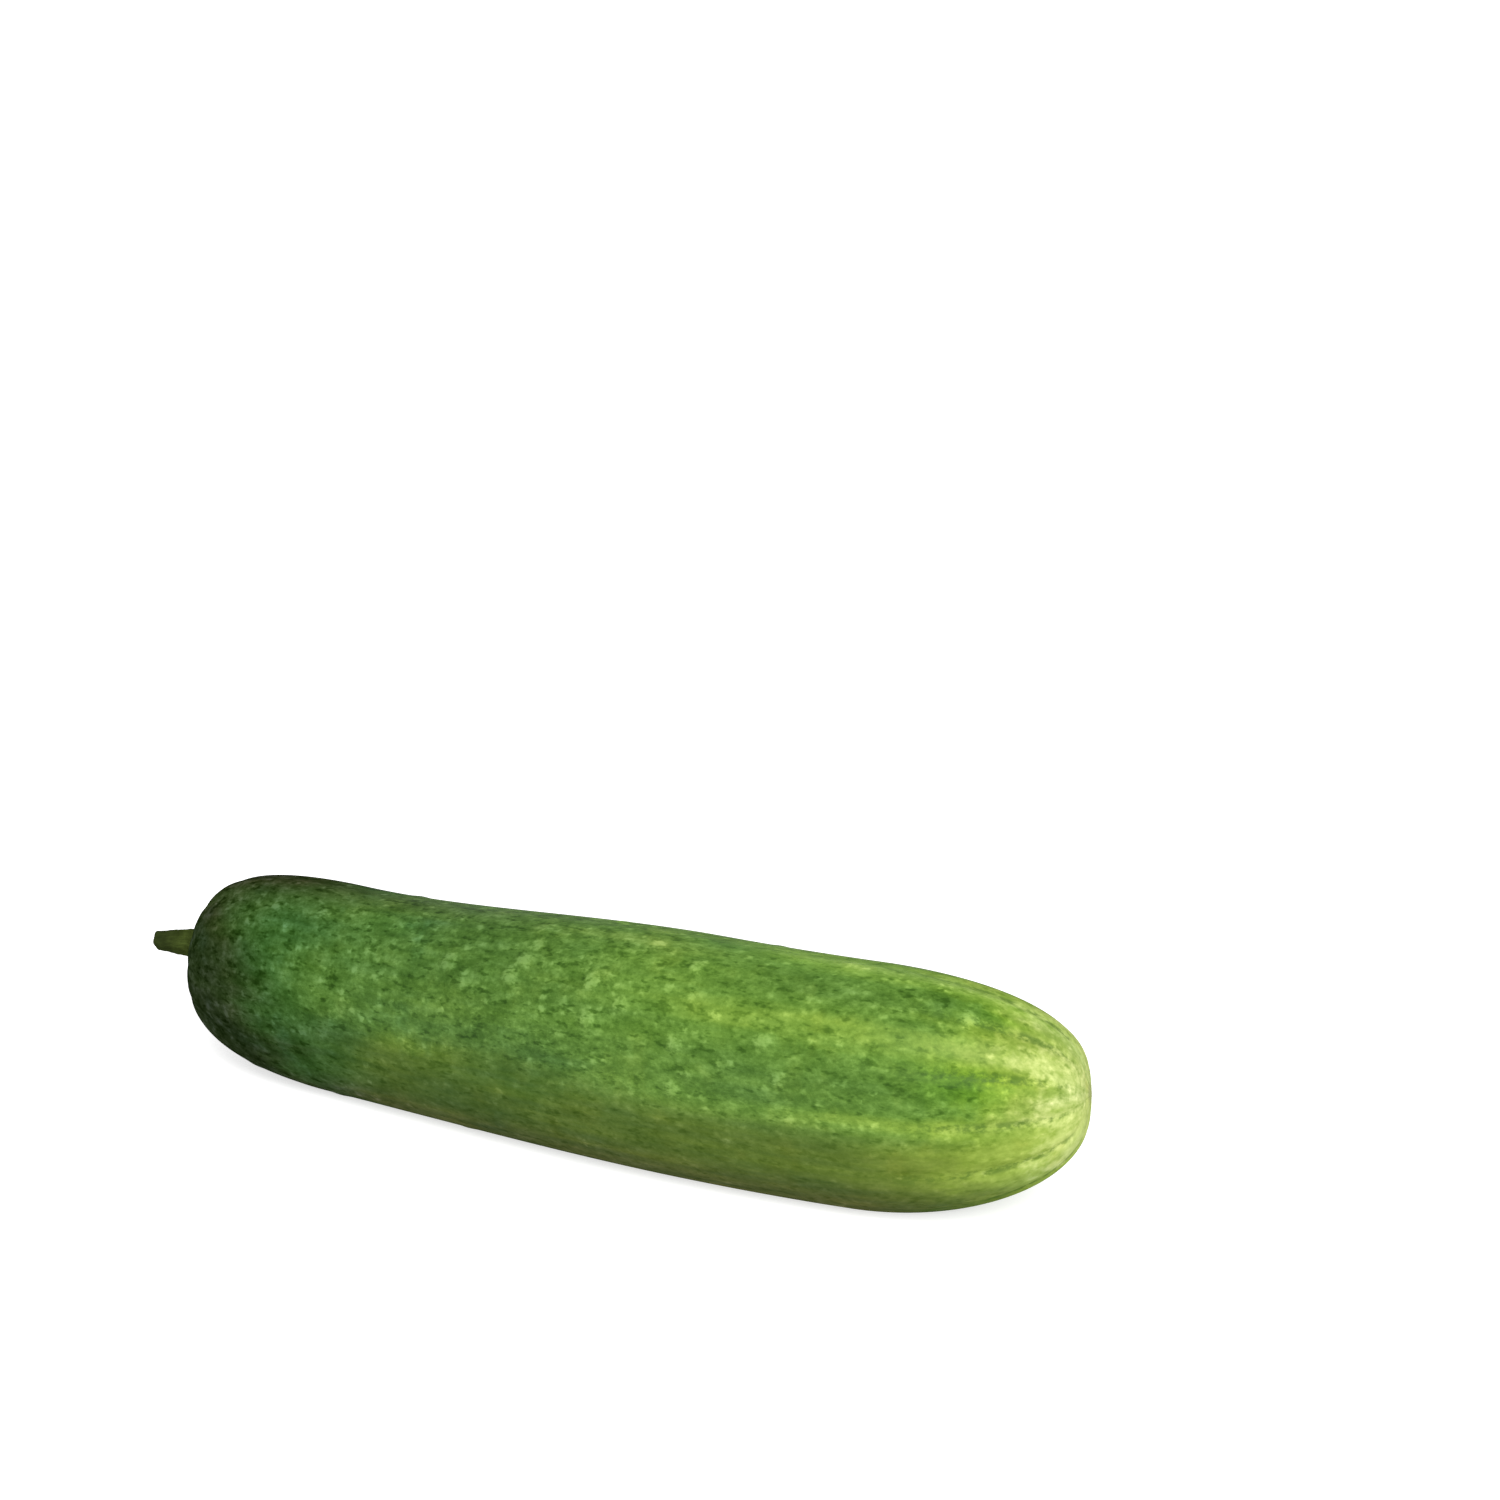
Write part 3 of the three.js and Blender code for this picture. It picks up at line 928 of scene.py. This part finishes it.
def skin_ground(paint, place, x, belly, streaks, rays):
    """The skin's colour before its speckles. A ramp of greens, or of olives on the belly, colours
    the tone noted on the points, with cloudy patches, lengthwise streaks and, at the blossom end,
    rays added. Broad noise casts it cooler or warmer, and the noted cast comes last."""
    tone = paint.read("tone") + paint.swing(place, *PATCHES) * PATCH_TONE
    tone = tone + streaks * (belly * STREAK_TONE_ON_BELLY + STREAK_TONE)
    tone = tone + rays * paint.ease(x, *RAY_SPAN) * RAY_TONE
    greens = paint.ramp(GREENS, tone)
    olives = paint.ramp(OLIVES, tone)
    colour = paint.blend(belly * paint.ease(x, *OLIVE_SPAN), greens, olives)
    hue = paint.noise(place, *HUES)
    cool = paint.ease(hue, *COOL_NOISE) * (1.0 - paint.ease(x, *COOL_FADE_SPAN) * COOL_FADE)
    warm = paint.ease(hue, *WARM_NOISE)
    colour = paint.blend(cool * COOL_SHARE, colour, COOL_CAST, "MULTIPLY")
    colour = paint.blend(warm * WARM_SHARE, colour, WARM_CAST, "MULTIPLY")
    return paint.scale(colour, paint.read_vector("cast"))


def skin_relief(paint, place, x, grain, mottle):
    """The fine relief of the skin: grain, mottle, blots on the part after the dark end, pale
    specks in the middles of jittered cells, dark pits, and ragged pale spots on the warts. It is
    levelled off softly at its top."""
    jitter = paint.node(
        "TexNoise", {}, Vector=place, Scale=JITTER_SCALE, Detail=JITTER_DETAIL, output=1,
    )
    moved = paint.node("VectorMath", {"operation": "MULTIPLY_ADD"}, jitter, JITTER_REACH, place)
    cells = {"Vector": paint.scale(moved, CELL_SQUEEZE), "Scale": CELL_SCALE}
    from_middle = paint.node("TexVoronoi", {"feature": "F1"}, **cells)
    chance = paint.first(paint.node("TexVoronoi", {"feature": "F1"}, output=1, **cells))
    speck = (1.0 - paint.ease(from_middle, *SPECK_EDGE)) * paint.ease(chance, *SPECK_CHANCE)
    pits = paint.ease(paint.noise(place, *PITS), *PIT_EDGE)
    blots = paint.swing(place, *BLOTS)
    coarse = paint.ease(x, *COARSE_START_SPAN) * (1.0 - paint.ease(x, *COARSE_END_SPAN))
    relief = grain * (GRAIN_RELIEF - coarse * COARSE_LOSS)
    relief = relief + mottle * (MOTTLE_RELIEF - coarse * COARSE_LOSS)
    relief = relief + blots * (coarse * BLOT_RELIEF)
    relief = relief + speck * SPECK_RELIEF - pits * PIT_RELIEF - RELIEF_BIAS
    crown = paint.read("crown")
    spot = paint.ease(crown + (grain + mottle) * SPOT_RAGGEDNESS, *SPOT_EDGE)
    spot = spot * paint.ease(crown, *SPOT_OUTER_EDGE)
    relief = paint.read("speckled") * relief + spot * SPOT_RELIEF
    level_off = {"operation": "SMOOTH_MIN"}
    return paint.node("Math", level_off, relief, RELIEF_TOP, RELIEF_TOP_SOFTNESS)


def skin_marks(paint, colour, x, from_axis, blossom, breaks, scar):
    """The skin's colour with its marks: dark threads, with breaks, in the furrows of the blossom
    end and off its tip, the scar on that tip, and the stem's seat."""
    thread = paint.ease(paint.read("furrow"), *THREAD_FURROW) * blossom
    thread = thread * paint.ease(from_axis, *THREAD_EDGE)
    thread = thread * paint.ease(breaks, *THREAD_BREAKS)
    seat = (1.0 - paint.ease(from_axis, *SEAT_EDGE)) * (1.0 - paint.ease(x, *SEAT_HALF))
    colour = paint.blend(thread * THREAD_SHARE, colour, THREAD_COLOUR)
    colour = paint.blend(scar * SCAR_SHARE, colour, SCAR_COLOUR)
    return paint.blend(seat * SEAT_SHARE, colour, SEAT_COLOUR)


def skin_material():
    """Waxy skin. Its fine relief lightens towards white, or darkens, each spot of its ground
    colour, and its marks come over that. The wax is on the upper side alone, and thinner at the
    blossom end."""
    paint = Paint("skin")
    place = paint.read_vector("place")
    x = paint.first(place)
    belly = paint.read("belly")
    from_axis = paint.read("from_axis")
    blossom = paint.ease(x, *BLOSSOM_SPAN)
    outward = paint.node(
        "VectorMath", {"operation": "DIVIDE"}, place,
        paint.node("CombineXYZ", {}, RAY_LENGTH, from_axis, from_axis),
    )
    rays = paint.swing(outward, *RAYS)
    streaks = paint.swing(place, *STREAKS)
    grain = paint.swing(place, *GRAIN)
    mottle = paint.swing(place, *MOTTLE)

    colour = skin_ground(paint, place, x, belly, streaks, rays)
    relief = skin_relief(paint, place, x, grain, mottle)
    factors = [LIGHTENING ** (relief * power) for power in RELIEF_POWERS]
    colour = paint.scale(colour, paint.node("CombineXYZ", {}, *factors))
    scar = (1.0 - paint.ease(from_axis, *SCAR_EDGE)) * paint.ease(x, *SCAR_HALF)
    colour = skin_marks(paint, colour, x, from_axis, blossom, grain + mottle + rays, scar)

    wax = paint.ease(x, *WAX_SPAN) * (WAX - blossom * WAX_LOSS_AT_BLOSSOM)
    bump = paint.node(
        "Bump", {}, Strength=SKIN_BUMP_STRENGTH, Distance=SKIN_BUMP_DEPTH * MM,
        Height=relief * RELIEF_BUMP + streaks * STREAK_BUMP,
    )
    return paint.coat(
        Base_Color=colour,
        Roughness=grain * GRAIN_ROUGHNESS + SKIN_ROUGHNESS + scar * SCAR_ROUGHNESS,
        Coat_Weight=(1.0 - belly) * wax,
        Coat_Roughness=WAX_ROUGHNESS,
        Specular_IOR_Level=0.0,
        Normal=bump,
    )


def stem_material():
    """Dull fibrous stem: dark olive, darker towards its cut, with a paler pith in the cut face."""
    paint = Paint("stem")
    place = paint.read_vector("place")
    fibres = paint.noise(place, *FIBRES)
    blotch = paint.noise(place, *BLOTCHES)
    olives = [(stop, linear(*colour)) for stop, colour in STEM_OLIVES]
    colour = paint.ramp(olives, fibres * FIBRE_TONE + blotch * BLOTCH_TONE)
    dark = paint.ease(paint.read("gone"), *STEM_DARK_SPAN)
    pith = paint.ease(paint.read("cut_face"), *PITH_SPAN)
    colour = paint.blend(dark * STEM_DARK_SHARE, colour, linear(*STEM_DARK))
    colour = paint.blend(pith * PITH_SHARE, colour, linear(*PITH))
    bump = paint.node(
        "Bump", {}, Strength=STEM_BUMP_STRENGTH, Distance=STEM_BUMP_DEPTH * MM,
        Height=fibres + blotch * BLOTCH_BUMP,
    )
    return paint.coat(
        Base_Color=colour,
        Roughness=blotch * BLOTCH_ROUGHNESS + STEM_ROUGHNESS,
        Specular_IOR_Level=0.0,
        Normal=bump,
    )


def table_material():
    """Plain white that shines a little by itself, as a light table does."""
    return Paint("table_white").coat(
        Base_Color=(TABLE_GREY, TABLE_GREY, TABLE_GREY, 1.0),
        Roughness=TABLE_ROUGHNESS,
        Specular_IOR_Level=0.0,
        Emission_Color=(*WHITE, 1.0),
        Emission_Strength=TABLE_GLOW,
    )


# ---------------------------------------------------------------- placing, floor, light, eye

def box_middle(low, high):
    """The middle of a box."""
    return (np.array(low) + np.array(high)) / 2.0


def read_points(piece):
    """The points of a piece's mesh."""
    points = np.empty(len(piece.data.vertices) * 3, dtype=np.float32)
    piece.data.vertices.foreach_get("co", points)
    return points.reshape(-1, 3)


def shift(piece, offset):
    """Moves a piece within its own mesh."""
    points = read_points(piece) + np.asarray(offset, dtype=np.float32)
    piece.data.vertices.foreach_set("co", points.ravel())
    piece.data.update()


def level_offset(piece, node):
    """How far the middle of a node's box is from the middle of a piece's, without its height."""
    points = read_points(piece).astype(float)
    offset = box_middle(*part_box(node)) - box_middle(points.min(axis=0), points.max(axis=0))
    offset[2] = 0.0
    return offset


def make_floor():
    """A wide plain white table top."""
    half = TABLE_HALF_WIDTH
    corners = [(-half, -half, 0), (half, -half, 0), (half, half, 0), (-half, half, 0)]
    mesh = bpy.data.meshes.new("table_top")
    mesh.from_pydata(corners, [], [(0, 1, 2, 3)])
    mesh.materials.append(table_material())
    add_object("table_top", mesh)


def aim_at(thing, right, up, back, place):
    """Turns and places a light or a camera, which both look along minus back."""
    rows = np.column_stack([right, up, back, place])
    thing.matrix_world = Matrix([*rows.tolist(), (0.0, 0.0, 0.0, 1.0)])


def make_key_light():
    """A square soft light at its place, turned towards its aim."""
    light = bpy.data.lights.new("key_softbox", "AREA")
    light.size = KEY_SIZE
    light.energy = KEY_POWER
    back = unit(np.array(KEY_PLACE) - np.array(KEY_AIM))
    right = unit(np.cross((0.0, 0.0, 1.0), back))
    aim_at(add_object("key_softbox", light), right, np.cross(back, right), back, KEY_PLACE)


def make_camera(offset):
    """The eye, placed so that the fruit's middle falls on its own spot of the picture."""
    focal = PICTURE_SIZE * VIEW_LENS / FILM_WIDTH
    pixel_right = AIM_PIXEL_X - PICTURE_SIZE / 2
    pixel_down = AIM_PIXEL_Y - PICTURE_SIZE / 2
    turn = math.radians(VIEW_TURN)
    drop = math.radians(VIEW_DROP) - math.atan(pixel_down / focal)
    level = math.cos(drop)
    back = np.array([math.sin(turn) * level, -math.cos(turn) * level, math.sin(drop)])
    right = np.array([math.cos(turn), math.sin(turn), 0.0])
    up = np.cross(back, right)
    aside = pixel_right / focal * VIEW_DISTANCE
    above = -pixel_down / focal * VIEW_DISTANCE
    aim = np.array([0.0, 0.0, AIM_HEIGHT])
    place = (aim - right * aside - up * above + back * VIEW_DISTANCE) * MM + offset
    lens = bpy.data.cameras.new("eye")
    lens.lens = VIEW_LENS
    lens.sensor_width = FILM_WIDTH
    eye = add_object("eye", lens)
    aim_at(eye, right, up, back, place)
    bpy.context.scene.camera = eye


def make_sky():
    """Even white light from all round."""
    world = bpy.data.worlds.new("studio_white")
    world.use_nodes = True
    background = world.node_tree.nodes["Background"]
    background.inputs["Color"].default_value = (*WHITE, 1.0)
    background.inputs["Strength"].default_value = SKY_STRENGTH
    bpy.context.scene.world = world


fruit = make_fruit()
stem = make_stem()
offset = level_offset(fruit, "fruit")
for piece in (fruit, stem):
    shift(piece, offset)
    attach(piece, "root")
fruit.data.materials.append(skin_material())
stem.data.materials.append(stem_material())
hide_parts("fruit")
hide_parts("stem")

make_floor()
make_sky()
make_key_light()
make_camera(offset)
bpy.context.scene.view_settings.view_transform = "Standard"
